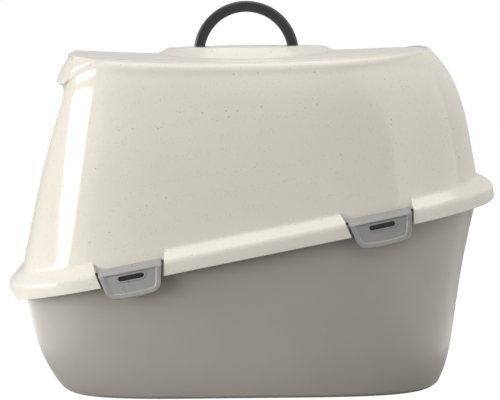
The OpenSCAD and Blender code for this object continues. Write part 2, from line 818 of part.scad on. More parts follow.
module filter_holder() {
    rise = holder_rise;
    color([0.8, 0.79, 0.75])
    translate([0, crown_y, 0])
    difference() {
        union() {
            translate([0, 0, holder_top - holder_t])
            cylinder(r = bay_r + holder_flange, h = holder_t);
            translate([0, 0, holder_top - 1])
            cylinder(r = holder_r, h = rise + 1);
        }
        translate([0, 0, holder_top])
        cylinder(r = holder_r - holder_wall, h = rise + 1);
        for (i = [0 : vents - 1])
            let (x = (i - (vents - 1) / 2) * vent_pitch,
                 half = sqrt(pow(bay_r - vent_edge - 1, 2) - x * x))
            translate([x - vent_w / 2, -half, holder_top - holder_t - 1])
            cube([vent_w, 2 * half, holder_t + 2]);
    }
}

base_pan();
hood();
swing_door();
handle();
filter_pad();
filter_holder();
clip_front_right();
clip_front_left();
clip_rear_right();
clip_rear_left();
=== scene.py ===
import math

import bmesh
import bpy
import numpy as np
from mathutils import Matrix, Vector
from mathutils.bvhtree import BVHTree


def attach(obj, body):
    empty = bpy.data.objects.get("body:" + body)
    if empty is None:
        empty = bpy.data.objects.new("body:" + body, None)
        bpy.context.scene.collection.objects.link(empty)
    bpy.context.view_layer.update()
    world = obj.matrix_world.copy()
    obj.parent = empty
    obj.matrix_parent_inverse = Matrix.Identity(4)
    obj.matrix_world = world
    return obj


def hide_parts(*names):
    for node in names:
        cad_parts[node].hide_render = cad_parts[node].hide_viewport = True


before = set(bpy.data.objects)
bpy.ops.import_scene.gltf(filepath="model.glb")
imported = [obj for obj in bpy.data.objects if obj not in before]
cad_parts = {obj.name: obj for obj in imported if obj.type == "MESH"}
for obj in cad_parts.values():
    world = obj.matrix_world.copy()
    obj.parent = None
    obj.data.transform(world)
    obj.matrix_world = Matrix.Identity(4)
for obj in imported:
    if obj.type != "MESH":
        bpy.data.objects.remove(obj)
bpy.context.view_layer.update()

# Lengths are in millimetres until a mesh is made.
MM = 0.001

# ---- driving dimensions -----------------------------------------------------
BODY_LEN = 587
BODY_W = 390
WALL = 2.6
FRONT_SQUARE = 5
REAR_SQUARE = 4.5
CROWDING = 2.2

RIM_MID = 173
RIM_ANGLE = 11.3
RIM_FACE = 16
RIM_LEAN = 2
LEDGE_IN = 14
LEDGE_H = 11
FRONT_LEDGE = 1
REAR_LEDGE = 4
RIM_PAD = 2.2

BASE_FRONT_IN = 17.5
BASE_REAR_IN = 17
BASE_SIDE_IN = 17
BASE_FRONT = (22, 20)
BASE_REAR = (29, 14)
BASE_SIDE = (8, 8)
SIDE_POWERS = (1.5, 6)
FRONT_POWERS = (1, 4)
REAR_POWERS = (2, 8)
FLOOR_FILLET = 4
FOOT_H = 2.5
FOOT_IN = 3
TREAD = 8
RECESS = 1.2
FLANGE_T = 2.8
LIP_H = 8.6

HOOD_FRONT = (46, 5.5)
HOOD_REAR = (28, 30.5)
HOOD_SIDE = (20, 8)
TURN_POWER = 4.4
SHOULDER_W = 11
SHOULDER_H = 10
ROOF_EDGE = 390
ROOF_ARCH = 9
ARCH_FALL = 4
ROOF_LOW_Y = -60
ROOF_SAG = 1.7
STEP = 0.8
VISOR_DROP = 41
VISOR_TIP = 5
VISOR_OUT = 9
VISOR_BROW = 9
VISOR_BOW = 1.8
VISOR_BACK = 3
VISOR_LEN = 57
VISOR_SIDE = 22
TAIL_BACK = 13
TAIL_LEN = 62

# The fold down the rear corners: its place as a share of the length behind the middle, how far
# it reaches to both sides, its height and the slant of its way out
FOLD_AT = 0.965
FOLD_BEFORE = 0.05
FOLD_AFTER = 0.018
FOLD_RISE = 1.6
FOLD_SLANT = 0.5

CROWN_Y = -3.5
CROWN_R = 97
CROWN_FLANK = 14
CROWN_Z = 407
CROWN_DOME = 2.2
CROWN_TILT = 0.013
WELL_R = 70
ISLAND_R = 50
WELL_WALL = 3
VENTS = 9
VENT_W = 3
VENT_EDGE = 4
ISLAND_SINK = 0.4
BAY_CLEAR = 0.4

GRIP_Z = 397.5
GRIP_T = 12
SWING_GAP = 0.8

DOOR_W = 202
SILL_Z = 160
LINTEL_Z = 357
DOOR_CORNER = 38
DOOR_TOP_CORNER = 12
DOOR_HEAD = 13
DOOR_IN = 86.5
HINGE_BOSS_R = 5
PORCH_Y = 194
PORCH_WALL = 2.6

CLIP_FRONT = 138
CLIP_REAR = 144
CLIP_W = 75
CLIP_TAPER = 12
CLIP_DROP = 15
CLIP_T = 2.8
CLIP_FLARE = 1.8
CLIP_CORNER = 12
CLIP_BEND_H = 14.4
CLIP_LEAF = 5.2
LEAF_UP = 50
BARREL_R = 2.4
CLIP_PIN_D = 3.2
PIVOT_IN = 6.5
PIVOT_H = 16
SLOT_LEN = 30.5
SLOT_W = 6.2
SLOT_H = 6.5
RIB_W = 26
RIB_OVER_LIP = 2
RIB_T = 1.6
RIB_ROOT = 4.2
TOE_H = 4
CLIP_WEB = 3
PIN_REACH = 2.6
NOTCH_GAP = 3
SEAT_GAP = 0.3

# ---- derived sizes ----------------------------------------------------------
HALF_LEN = BODY_LEN / 2
HALF_W = BODY_W / 2
SLOPE = math.tan(math.radians(RIM_ANGLE))
LEDGE_TOP = RIM_FACE + LEDGE_H
FOOT_W = HALF_W - RIM_LEAN - LEDGE_IN
FOOT_F = HALF_LEN - RIM_LEAN - LEDGE_IN - FRONT_LEDGE
FOOT_R = HALF_LEN - RIM_LEAN - LEDGE_IN - REAR_LEDGE
TOP_W = FOOT_W - sum(HOOD_SIDE)
TOP_F = FOOT_F - sum(HOOD_FRONT)
TOP_R = FOOT_R - sum(HOOD_REAR)
EDGE_W = TOP_W - SHOULDER_W
VISOR_FROM = TOP_F - VISOR_BACK - VISOR_LEN
TAIL_FROM = TOP_R - TAIL_BACK - TAIL_LEN
OVERHANG_FROM = TOP_F - VISOR_SIDE
LEDGE_RISE = LEDGE_H / LEDGE_IN
CROWN_BASE = CROWN_R + CROWN_FLANK
WELL_FLOOR = GRIP_Z - GRIP_T / 2 - SWING_GAP
WELL_UNDER = WELL_FLOOR - WALL
BAY_R = ISLAND_R - WALL
BAY_TOP = CROWN_Z - WALL - BAY_CLEAR


def unit(v):
    """A vector of length one."""
    return np.asarray(v, float) / np.linalg.norm(v)


def inner_corner():
    """Where the insides of the rim's face and its ledge meet: distance in, height."""
    face, ledge = unit((-RIM_LEAN, RIM_FACE)), unit((-LEDGE_IN, LEDGE_H))
    across = face[0] * ledge[1] - face[1] * ledge[0]
    return np.array((-RIM_LEAN, RIM_FACE)) + WALL * (ledge - face) / across


CORNER = inner_corner()
INNER_TOP = CORNER[1] + (HALF_W + CORNER[0] - FOOT_W + WALL) * LEDGE_RISE
INNER_IN = -CORNER[0]
INNER_H = CORNER[1] - RIM_PAD
INNER_RISE = (INNER_TOP - INNER_H) / (HALF_W - INNER_IN - FOOT_W + WALL)
FLANGE_GAP = 0.5
FLANGE_IN = INNER_IN + FLANGE_GAP
FLANGE_TOP = INNER_H + FLANGE_GAP * INNER_RISE - SEAT_GAP * math.hypot(1, INNER_RISE)
LIP_UNDER = FLANGE_TOP - FLANGE_T - LIP_H

# ---- outlines and heights ---------------------------------------------------
N = 288
FOLD_TURNS = np.arcsin((FOLD_AT + np.array((-0.008, -0.002, 0, 0.002, 0.008))) ** (REAR_SQUARE / 2))


def outline_angles():
    """Angles round an outline, close together where a side is long and flat and at the folds."""
    i = np.arange(N)
    quarter = i * 4 // N
    q = i * 4 / N - quarter
    eased = q**CROWDING / (q**CROWDING + (1 - q) ** CROWDING)
    turns = np.radians(90 * (quarter + eased))
    return np.sort(np.concatenate([turns, FOLD_TURNS, math.pi - FOLD_TURNS]))


def outline(w, f, r):
    """One closed outline in plan: half width, front and rear half lengths."""
    t = outline_angles()
    s, c = np.sin(t), np.cos(t)
    s[abs(s) < 1e-9], c[abs(c) < 1e-9] = 0, 0
    front = s < 0
    power = 2 / np.where(front, FRONT_SQUARE, REAR_SQUARE)
    x = w * np.sign(c) * abs(c) ** power
    y = np.where(front, f, r) * np.sign(s) * abs(s) ** power
    return x, y


def ring(x, y, z):
    """The points of a ring as rows."""
    return np.stack([x, y, z + 0 * x], 1)


def rim_z(y):
    return RIM_MID + SLOPE * y


def visor(y):
    return np.clip((-y - VISOR_FROM) / VISOR_LEN, 0, 1) ** 2


def tail(y):
    return np.clip((y - TAIL_FROM) / TAIL_LEN, 0, 1) ** 2


def roof_z(x, y):
    arch = (ROOF_ARCH - ARCH_FALL * tail(y)) * (1 - (x / EDGE_W) ** 2)
    return ROOF_EDGE + ROOF_SAG * ((y - ROOF_LOW_Y) / 100) ** 2 + arch


def crease_z(x, y):
    return roof_z(x, y) - VISOR_DROP * visor(y)


def shoulder_z(x, y):
    return crease_z(x, y) - SHOULDER_H * (1 - visor(y)) * (1 - tail(y))


def lean(k, s):
    return k[0] * s + k[1] * s**TURN_POWER


def crown_top(x, y):
    """x and y are measured from the crown's middle."""
    return CROWN_Z + CROWN_DOME * (1 - (x * x + y * y) / CROWN_R**2) + CROWN_TILT * y


# ---- rings of the hood ------------------------------------------------------
def edge_ring(inset, h):
    x, y = outline(HALF_W - inset, HALF_LEN - inset, HALF_LEN - inset)
    return ring(x, y, rim_z(y) + h)


def folded(x, y, far, rise):
    """Raises the fold that runs down the rear corners."""
    u = y / far - FOLD_AT
    lift = rise * np.clip(np.minimum(1 + u / FOLD_BEFORE, 1 - u / FOLD_AFTER), 0, 1)
    return x + lift * np.sign(x) * math.cos(FOLD_SLANT), y + lift * math.sin(FOLD_SLANT)


def wall_ring(s, t):
    """s runs from the ledge to the shoulder, t is the depth in the wall."""
    far = FOOT_R - lean(HOOD_REAR, s) - t
    x, y = outline(FOOT_W - lean(HOOD_SIDE, s) - t, FOOT_F - lean(HOOD_FRONT, s) - t, far)
    if not t:
        x, y = folded(x, y, far, FOLD_RISE * min(1.0, s / 0.1))
    return ring(x, y, (rim_z(y) + LEDGE_TOP) * (1 - s) + shoulder_z(x, y) * s)


def shoulder_ring(angle, t):
    """angle is how far the shoulder has turned, t is the depth in the wall."""
    c, s = math.cos(math.radians(angle)), math.sin(math.radians(angle))
    x, y = outline(TOP_W - SHOULDER_W * (1 - c) - t * c, TOP_F - t, TOP_R - t * c)
    if not t:
        x, y = folded(x, y, TOP_R, FOLD_RISE * c)
    return ring(x, y, shoulder_z(x, y) * (1 - s) + crease_z(x, y) * s - t * s)


def visor_ring(k):
    """The visor's face, 0 at its tip and 1 at the roof. It overhangs only in front of the wall."""
    sink = STEP * (1 + k) / 2
    back = 4 * VISOR_BOW * k * (1 - k) - VISOR_BROW * k
    x, y = outline(EDGE_W - sink, TOP_F + back, TOP_R - sink)
    over_x, over_y = outline(EDGE_W - sink, TOP_F + back + VISOR_OUT * (1 - k), TOP_R - sink)
    u = np.clip((-y - OVERHANG_FROM) / (TOP_F - OVERHANG_FROM), 0, 1)
    share = u * u * (3 - 2 * u)
    x, y = x + (over_x - x) * share, y + (over_y - y) * share
    tip = crease_z(x, y) + STEP / 2 + VISOR_TIP * visor(y)
    return ring(x, y, tip * (1 - k) + (roof_z(x, y) - STEP) * k)


def roof_ring(w, f, r, sink):
    x, y = outline(w, f, r)
    return ring(x, y, roof_z(x, y) - sink)


def crown_ring(r, share, sink=0.0):
    """share is 0 on the roof and 1 on the crown's top."""
    t = outline_angles()
    x, y = r * np.cos(t), r * np.sin(t)
    low = roof_z(x, y + CROWN_Y) - STEP
    return ring(x, y + CROWN_Y, low * (1 - share) + crown_top(x, y) * share - sink)


def level_ring(r, z):
    t = outline_angles()
    return ring(r * np.cos(t), r * np.sin(t) + CROWN_Y, z)


def rounded(rings, cuts, steps=3):
    """Rounds the corners of a stack of rings; each cut is how far a corner's curve reaches."""
    out = []
    for k, (mid, cut) in enumerate(zip(rings, cuts)):
        if not cut or k in (0, len(rings) - 1):
            out.append(mid)
            continue
        before, after = rings[k - 1] - mid, rings[k + 1] - mid
        ends = []
        for way in (before, after):
            far = np.linalg.norm(way, axis=1, keepdims=True)
            ends.append(mid + way * np.minimum(cut / np.maximum(far, 1e-6), 0.42))
        for i in range(steps + 1):
            u = i / steps
            out.append((1 - u) ** 2 * ends[0] + 2 * u * (1 - u) * mid + u * u * ends[1])
    return out


# ---- meshes -----------------------------------------------------------------
def mesh_object(name, verts, faces, smooth=True):
    """An object in metres from points in millimetres."""
    mesh = bpy.data.meshes.new(name)
    mesh.from_pydata([tuple(v) for v in np.asarray(verts) * MM], [], [tuple(f) for f in faces])
    mesh.validate()
    obj = bpy.data.objects.new(name, mesh)
    bpy.context.scene.collection.objects.link(obj)
    if smooth:
        mesh.polygons.foreach_set("use_smooth", [True] * len(mesh.polygons))
    return obj


def skin(name, rings, first, last):
    """A closed skin through rings of equal length; first and last are the poles that close it."""
    n = len(rings[0])
    verts = [p for r in rings for p in r]
    faces = []
    for k in range(len(rings) - 1):
        for i in range(n):
            a, b = k * n + i, k * n + (i + 1) % n
            faces.append((a, b, b + n, a + n))
    top = (len(rings) - 1) * n
    for pole, start in ((first, 0), (last, top)):
        verts.append(pole)
        for i in range(n):
            a, b = start + i, start + (i + 1) % n
            faces.append((b, a, len(verts) - 1) if start == 0 else (a, b, len(verts) - 1))
    return mesh_object(name, verts, faces)


def closed_loop(name, sections):
    """A closed tube whose sections are rings of points, the last joined to the first."""
    n, m = len(sections), len(sections[0])
    verts = [p for s in sections for p in s]
    faces = [
        (k * m + i, k * m + (i + 1) % m, (k + 1) % n * m + (i + 1) % m, (k + 1) % n * m + i)
        for k in range(n)
        for i in range(m)
    ]
    return mesh_object(name, verts, faces)


def prism(name, low, high):
    """A closed solid between two outlines of equal length."""
    n = len(low)
    faces = [tuple(range(n))[::-1], tuple(range(n, 2 * n))]
    faces += [(i, (i + 1) % n, n + (i + 1) % n, n + i) for i in range(n)]
    return mesh_object(name, list(low) + list(high), faces, smooth=False)


def join(objs, name):
    """One object from several."""
    bpy.ops.object.select_all(action="DESELECT")
    for o in objs:
        o.select_set(True)
    bpy.context.view_layer.objects.active = objs[0]
    if len(objs) > 1:
        bpy.ops.object.join()
    objs[0].name = name
    return objs[0]


def face_outward(obj):
    bm = bmesh.new()
    bm.from_mesh(obj.data)
    bmesh.ops.recalc_face_normals(bm, faces=bm.faces)
    bm.to_mesh(obj.data)
    bm.free()


def apply_modifiers(obj):
    graph = bpy.context.evaluated_depsgraph_get()
    mesh = bpy.data.meshes.new_from_object(obj.evaluated_get(graph))
    obj.modifiers.clear()
    old = obj.data
    obj.data = mesh
    bpy.data.meshes.remove(old)


def boolean(obj, tool, operation):
    """Joins a closed tool to obj or cuts it out, and removes the tool."""
    mod = obj.modifiers.new("cut", "BOOLEAN")
    mod.operation = operation
    mod.solver = "EXACT"
    mod.object = tool
    apply_modifiers(obj)
    bpy.data.objects.remove(tool)


def finish_shading(obj, angle=32):
    """Smooth faces with sharp edges where two meet at more than an angle."""
    mesh = obj.data
    mesh.polygons.foreach_set("use_smooth", [True] * len(mesh.polygons))
    mesh.set_sharp_from_angle(angle=math.radians(angle))
    mesh.update()


# ---- camera, light, stage ---------------------------------------------------
CAMERA_AT = (1.56581, -0.05567, 0.41650)
CAMERA_TO = (0.0, 0.0012, 0.2130)
CAMERA_LENS = 89.33
LIT_MIDDLE = (0, 0, 0.22)


def look_at(obj, point):
    way = Vector(point) - obj.location
    obj.rotation_euler = way.to_track_quat("-Z", "Y").to_euler()


def make_camera():
    cam = bpy.data.objects.new("camera", bpy.data.cameras.new("camera"))
    bpy.context.scene.collection.objects.link(cam)
    cam.location = CAMERA_AT
    cam.data.lens = CAMERA_LENS
    cam.data.sensor_width = 36
    cam.data.clip_start = 0.05
    look_at(cam, CAMERA_TO)
    bpy.context.scene.camera = cam


def make_light(name, at, to, size, power, mirrored=False):
    data = bpy.data.lights.new(name, "AREA")
    data.shape = "RECTANGLE"
    data.size, data.size_y = size
    data.energy = power
    obj = bpy.data.objects.new(name, data)
    bpy.context.scene.collection.objects.link(obj)
    obj.location = at
    obj.visible_glossy = mirrored
    look_at(obj, to)


def place_light(name, azimuth, height, distance, size, power, mirrored=False):
    """A soft box aimed at the object: azimuth 0 is the camera's side, 90 the object's front."""
    a = math.radians(azimuth)
    at = (distance * math.cos(a), -distance * math.sin(a), height)
    make_light(name, at, LIT_MIDDLE, size, power, mirrored)


def make_card(name, corners, emission):
    """A flat card that only shows in reflections: a light panel or a black flag."""
    mesh = bpy.data.meshes.new(name)
    mesh.from_pydata(corners, [], [tuple(range(len(corners)))])
    obj = bpy.data.objects.new(name, mesh)
    bpy.context.scene.collection.objects.link(obj)
    obj.visible_camera = False
    obj.visible_shadow = False
    mat, nodes, _, shader = new_material(name)
    shader.inputs["Base Color"].default_value = (0.01, 0.01, 0.01, 1)
    shader.inputs["Emission Color"].default_value = (1, 1, 1, 1)
    shader.inputs["Emission Strength"].default_value = emission
    mesh.materials.append(mat)
    obj.visible_diffuse = False
    obj.visible_transmission = False


# The panel beside the object's front corner: its azimuth, distance and light, and its corners
# as places along it and heights
PANEL_AZIMUTH = 65
PANEL_DISTANCE = 1.6
PANEL_LIGHT = 8.5
PANEL_CORNERS = ((0.36, 0.27), (0.62, 0.27), (0.33, 0.93), (-1.22, 0.80))
# The flag behind the camera: its distance, and its sides and top
FLAG_X = 2.2
FLAG_FRONT = -1.3
FLAG_REAR = 0.86
FLAG_TOP = 1.27
# Bright stretches of floor that only show in reflections: their light and their corners
CARD_Z = 0.002
FLOOR_CARDS = (
    (
        "front_card",
        2.4,
        ((0.25, -0.30), (0.9, -0.45), (0.9, -1.2), (-0.6, -1.2), (-0.6, -0.40), (0.0, -0.33)),
    ),
    ("rear_card", 2.2, ((0.25, 0.28), (0.9, 0.35), (0.9, 1.2), (-0.3, 1.2), (-0.1, 0.36))),
)
# Soft boxes round the object: azimuth, height, distance, size, power, whether they are mirrored
SOFTBOXES = (
    ("corner_softbox", 67, 0.6, 1.6, (0.9, 0.6), 7.5, False),
    ("front_softbox", 60, 0.7, 1.6, (0.9, 1.5), 2.5, False),
    ("low_softbox", 53, 0.26, 1.2, (0.9, 0.3), 5.6, False),
    ("side_softbox", 0, 1.3, 1.3, (1.0, 0.8), 2.6, False),
    ("rear_softbox", -50, 1.0, 2.0, (2.4, 2.0), 15, True),
    ("back_softbox", -90, 0.9, 1.8, (0.8, 1.4), 10, False),
    ("far_softbox", 180, 1.3, 1.8, (1.6, 1.0), 5, False),
)


def make_lights():
    a = math.radians(PANEL_AZIMUTH)
    across, out = Vector((math.sin(a), math.cos(a), 0)), Vector((math.cos(a), -math.sin(a), 0))
    panel = [across * u + out * PANEL_DISTANCE + Vector((0, 0, z)) for u, z in PANEL_CORNERS]
    make_card("corner_panel", panel, PANEL_LIGHT)
    low, high = ((FLAG_FRONT, 0), (FLAG_REAR, 0)), ((FLAG_REAR, FLAG_TOP), (FLAG_FRONT, FLAG_TOP))
    make_card("flag", [(FLAG_X, y, z) for y, z in low + high], 0.0)
    for name, emission, corners in FLOOR_CARDS:
        make_card(name, [(x, y, CARD_Z) for x, y in corners], emission)
    for softbox in SOFTBOXES:
        place_light(*softbox)
    make_light("top_softbox", (0.1, 0, 2.1), (0, 0, 0.2), (1.6, 1.6), 16, True)


def new_material(name):
    mat = bpy.data.materials.new(name)
    mat.use_nodes = True
    return mat, mat.node_tree.nodes, mat.node_tree.links, mat.node_tree.nodes["Principled BSDF"]


# How much of the white surroundings shows in reflections, and what the floor adds to its own
# light where it is seen, so that it is white away from the shadow
MIRRORED = 0.5
FLOOR_GLOW = 0.95


def seen(nodes, links):
    """1 for the rays that show a surface to the camera or through glass, less for reflections."""
    path = nodes.new("ShaderNodeLightPath")
    mirrored = nodes.new("ShaderNodeMath")
    mirrored.operation = "MULTIPLY"
    links.new(path.outputs["Is Glossy Ray"], mirrored.inputs[0])
    mirrored.inputs[1].default_value = MIRRORED
    total = mirrored.outputs[0]
    for kind in ("Is Camera Ray", "Is Transmission Ray"):
        most = nodes.new("ShaderNodeMath")
        most.operation = "MAXIMUM"
        links.new(total, most.inputs[0])
        links.new(path.outputs[kind], most.inputs[1])
        total = most.outputs[0]
    return total


def make_world():
    world = bpy.data.worlds.new("studio")
    bpy.context.scene.world = world
    world.use_nodes = True
    nodes, links = world.node_tree.nodes, world.node_tree.links
    lit = nodes["Background"]
    lit.inputs["Color"].default_value = (1, 1, 1, 1)
    lit.inputs["Strength"].default_value = 0.27
    white = add(nodes, "ShaderNodeBackground", Color=(1, 1, 1, 1), Strength=1.0)
    mix = nodes.new("ShaderNodeMixShader")
    for source, socket in zip((seen(nodes, links), lit.outputs[0], white.outputs[0]), mix.inputs):
        links.new(source, socket)
    links.new(mix.outputs[0], nodes["World Output"].inputs["Surface"])


def make_floor():
    half = 4000
    corners = [(-half, -half, 0), (half, -half, 0), (half, half, 0), (-half, half, 0)]
    floor = mesh_object("floor", corners, [(0, 1, 2, 3)])
    mat, nodes, links, shader = new_material("floor_pale")
    shader.inputs["Base Color"].default_value = (0.12, 0.12, 0.118, 1)
    shader.inputs["Roughness"].default_value = 0.9
    shader.inputs["Emission Color"].default_value = (1, 1, 1, 1)
    glow = nodes.new("ShaderNodeMath")
    glow.operation = "MULTIPLY"
    links.new(seen(nodes, links), glow.inputs[0])
    glow.inputs[1].default_value = FLOOR_GLOW
    links.new(glow.outputs[0], shader.inputs["Emission Strength"])
    floor.data.materials.append(mat)


# ---- materials --------------------------------------------------------------
def add(nodes, kind, **inputs):
    node = nodes.new(kind)
    for key, value in inputs.items():
        node.inputs[key.replace("_", " ")].default_value = value
    return node


def object_place(nodes):
    return nodes.new("ShaderNodeTexCoord").outputs["Object"]


def ramp(nodes, links, source, stops):
    node = nodes.new("ShaderNodeValToRGB")
    links.new(source, node.inputs[0])
    band = node.color_ramp
    while len(band.elements) < len(stops):
        band.elements.new(0.5)
    for element, (at, colour) in zip(band.elements, stops):
        element.position = at
        element.color = (*colour, 1)
    return node.outputs[0]


def grey(v):
    return (v, v, v)


def mixed(nodes, links, share, a, b, kind="MIX"):
    node = nodes.new("ShaderNodeMix")
    node.data_type = "RGBA"
    node.blend_type = kind
    for socket, value in zip((node.inputs[0], node.inputs[6], node.inputs[7]), (share, a, b)):
        if isinstance(value, bpy.types.NodeSocket):
            links.new(value, socket)
        else:
            socket.default_value = value if isinstance(value, float) else (*value, 1)
    return node.outputs[2]


def bump(nodes, links, shader, height, strength, distance):
    node = add(nodes, "ShaderNodeBump", Strength=strength, Distance=distance)
    links.new(height, node.inputs["Height"])
    links.new(node.outputs[0], shader.inputs["Normal"])


def speckle(nodes, links, place, cell_mm, radius, share):
    """White spots of about one size, in a share of the cells of a grid."""
    cells = add(nodes, "ShaderNodeTexVoronoi", Scale=1000 / cell_mm, Randomness=1.0)
    links.new(place, cells.inputs["Vector"])
    spot = ramp(nodes, links, cells.outputs["Distance"], [(radius * 0.55, grey(1)), (radius, grey(0))])
    part = nodes.new("ShaderNodeSeparateColor")
    links.new(cells.outputs["Color"], part.inputs[0])
    chosen = ramp(nodes, links, part.outputs[0], [(share - 0.02, grey(1)), (share, grey(0))])
    return mixed(nodes, links, 1.0, spot, chosen, "MULTIPLY")


def hood_material():
    """Glossy warm white plastic with fine dark speckles moulded in."""
    mat, nodes, links, shader = new_material("hood_gloss")
    place = object_place(nodes)
    cloud = add(nodes, "ShaderNodeTexNoise", Scale=7.0, Detail=3.0)
    links.new(place, cloud.inputs["Vector"])
    tone = ramp(nodes, links, cloud.outputs[0], [(0.3, (0.655, 0.622, 0.545)), (0.7, (0.70, 0.667, 0.588))])
    fine = speckle(nodes, links, place, 2.7, 0.22, 0.45)
    large = speckle(nodes, links, place, 10.0, 0.09, 0.3)
    tone = mixed(nodes, links, fine, tone, (0.49, 0.45, 0.37))
    tone = mixed(nodes, links, large, tone, (0.33, 0.29, 0.23))
    links.new(tone, shader.inputs["Base Color"])
    smear = add(nodes, "ShaderNodeTexNoise", Scale=22.0, Detail=5.0, Roughness=0.6)
    links.new(place, smear.inputs["Vector"])
    rough = ramp(nodes, links, smear.outputs[0], [(0.3, grey(0.07)), (0.75, grey(0.11))])
    links.new(rough, shader.inputs["Roughness"])
    peel = add(nodes, "ShaderNodeTexNoise", Scale=260.0, Detail=2.0)
    links.new(place, peel.inputs["Vector"])
    bump(nodes, links, shader, peel.outputs[0], 0.05, 0.0006)
    shader.inputs["IOR"].default_value = 1.5
    return mat


def satin_material(name, dark, light, rough, grain_mm, depth):
    """Satin moulded plastic with a fine spark-eroded grain and slight clouding."""
    mat, nodes, links, shader = new_material(name)
    place = object_place(nodes)
    cloud = add(nodes, "ShaderNodeTexNoise", Scale=9.0, Detail=4.0)
    links.new(place, cloud.inputs["Vector"])
    links.new(ramp(nodes, links, cloud.outputs[0], [(0.3, dark), (0.7, light)]), shader.inputs["Base Color"])
    rub = add(nodes, "ShaderNodeTexNoise", Scale=30.0, Detail=6.0, Roughness=0.65)
    links.new(place, rub.inputs["Vector"])
    spread = [(0.3, grey(rough[0])), (0.75, grey(rough[1]))]
    links.new(ramp(nodes, links, rub.outputs[0], spread), shader.inputs["Roughness"])
    grain = add(nodes, "ShaderNodeTexNoise", Scale=1000 / grain_mm, Detail=3.0, Roughness=0.6)
    links.new(place, grain.inputs["Vector"])
    bump(nodes, links, shader, grain.outputs[0], depth, 0.0004)
    return mat


def door_material():
    """Smoke grey clear plastic with faint flow marks."""
    mat, nodes, links, shader = new_material("door_smoke")
    place = object_place(nodes)
    haze = add(nodes, "ShaderNodeTexNoise", Scale=14.0, Detail=5.0, Distortion=0.4)
    links.new(place, haze.inputs["Vector"])
    tone = ramp(nodes, links, haze.outputs[0], [(0.3, (0.115, 0.118, 0.122)), (0.7, (0.15, 0.153, 0.158))])
    links.new(tone, shader.inputs["Base Color"])
    rough = ramp(nodes, links, haze.outputs[0], [(0.3, grey(0.07)), (0.75, grey(0.14))])
    links.new(rough, shader.inputs["Roughness"])
    shader.inputs["Alpha"].default_value = 0.86
    shader.inputs["IOR"].default_value = 1.49
    bump(nodes, links, shader, haze.outputs[0], 0.03, 0.002)
    return mat


def foam_material():
    """Black open foam."""
    mat, nodes, links, shader = new_material("filter_foam")
    place = object_place(nodes)
    cells = add(nodes, "ShaderNodeTexVoronoi", Scale=700.0, Randomness=1.0)
    links.new(place, cells.inputs["Vector"])
    # The middles of the foam's cells, which the bump sinks into pores, are a darker black than their rims:
    # painted shade in the pores
    stops = [(0.1, (0.012, 0.012, 0.012)), (0.6, (0.05, 0.05, 0.052))]
    tone = ramp(nodes, links, cells.outputs["Distance"], stops)
    links.new(tone, shader.inputs["Base Color"])
    shader.inputs["Roughness"].default_value = 0.92
    bump(nodes, links, shader, cells.outputs["Distance"], 0.8, 0.001)
    return mat


# Satin plastics: name, dark and light tone, range of roughness, grain in mm, depth of the grain
SATINS = {
    "base": ("base_satin", (0.358, 0.334, 0.297), (0.396, 0.370, 0.329), (0.36, 0.46), 1.1, 0.10),
    "clip": ("clip_satin", (0.276, 0.273, 0.266), (0.313, 0.309, 0.300), (0.26, 0.36), 0.9, 0.12),
    "handle": ("handle_satin", (0.031, 0.034, 0.033), (0.041, 0.044, 0.043), (0.24, 0.34), 0.7, 0.15),
    # This dark material is the pins' own colour and also the painted shade sheet in the clips' slots
    "pin": ("pin_and_slot_shade_dark", (0.010, 0.010, 0.010), (0.014, 0.014, 0.014), (0.45, 0.55), 0.8, 0.1),
    "holder": ("holder_satin", (0.56, 0.53, 0.47), (0.60, 0.57, 0.51), (0.38, 0.48), 1.0, 0.1),
}


def make_materials():
    materials = {"hood": hood_material(), "door": door_material(), "foam": foam_material()}
    for name, values in SATINS.items():
        materials[name] = satin_material(*values)
    return materials


# ---- the rim's frame at a clip ----------------------------------------------
def clip_x(y, n):
    return HALF_W * (1 - (y / HALF_LEN) ** n) ** (1 / n)


def clip_turn(y, n):
    q = y / HALF_LEN
    return math.atan(HALF_W / HALF_LEN * q ** (n - 1) * (1 - q**n) ** (1 / n - 1))


def at_clip(points, side, end):
    """Takes points in the rim's frame (outward, along the rim, up) to their place at a clip."""
    n, y = (FRONT_SQUARE, CLIP_FRONT) if end < 0 else (REAR_SQUARE, CLIP_REAR)
    tilt = math.radians(RIM_ANGLE)
    turn = Matrix.Rotation(end * clip_turn(y, n), 4, "Z")
    place = Matrix.Translation((clip_x(y, n), end * y / math.cos(tilt), 0))
    whole = Matrix.Translation((0, 0, RIM_MID)) @ Matrix.Rotation(tilt, 4, "X") @ place @ turn
    if side < 0:
        whole = Matrix.Scale(-1, 4, (1, 0, 0)) @ whole
    return [whole @ Vector(p) for p in points]


def clip_half(h):
    """Half width of a clip at a height over the rim's plane."""
    return CLIP_W / 2 - (LEDGE_TOP - LEDGE_H / 2 - h) * math.tan(math.radians(CLIP_TAPER))


def wall_x(y, z):
    """Half width of the hood's wall at a place, carried straight on below its foot."""
    s = (z - rim_z(y) - LEDGE_TOP) / (shoulder_z(TOP_W, y) - rim_z(y) - LEDGE_TOP)
    up = max(s, 0.0) ** TURN_POWER
    w = FOOT_W - HOOD_SIDE[0] * s - HOOD_SIDE[1] * up
    foot, k, n = (FOOT_F, HOOD_FRONT, FRONT_SQUARE) if y < 0 else (FOOT_R, HOOD_REAR, REAR_SQUARE)
    far = foot - k[0] * s - k[1] * up
    return w * (1 - (abs(y) / far) ** n) ** (1 / n)


def behind(y, h, end):
    """Where that wall lies behind a clip, in the rim's frame."""
    x = FOOT_W - HALF_W
    for _ in range(4):
        at = at_clip([(x, y, h)], 1, end)[0]
        x += wall_x(at.y, at.z) - at.x
    return x


NOTCH_LOW = -5
NOTCH_TOP = LEDGE_TOP + 2.5
NOTCH_CLEAR = 0.04
NOTCH_OUT = 26
PLATE_COLS = 15


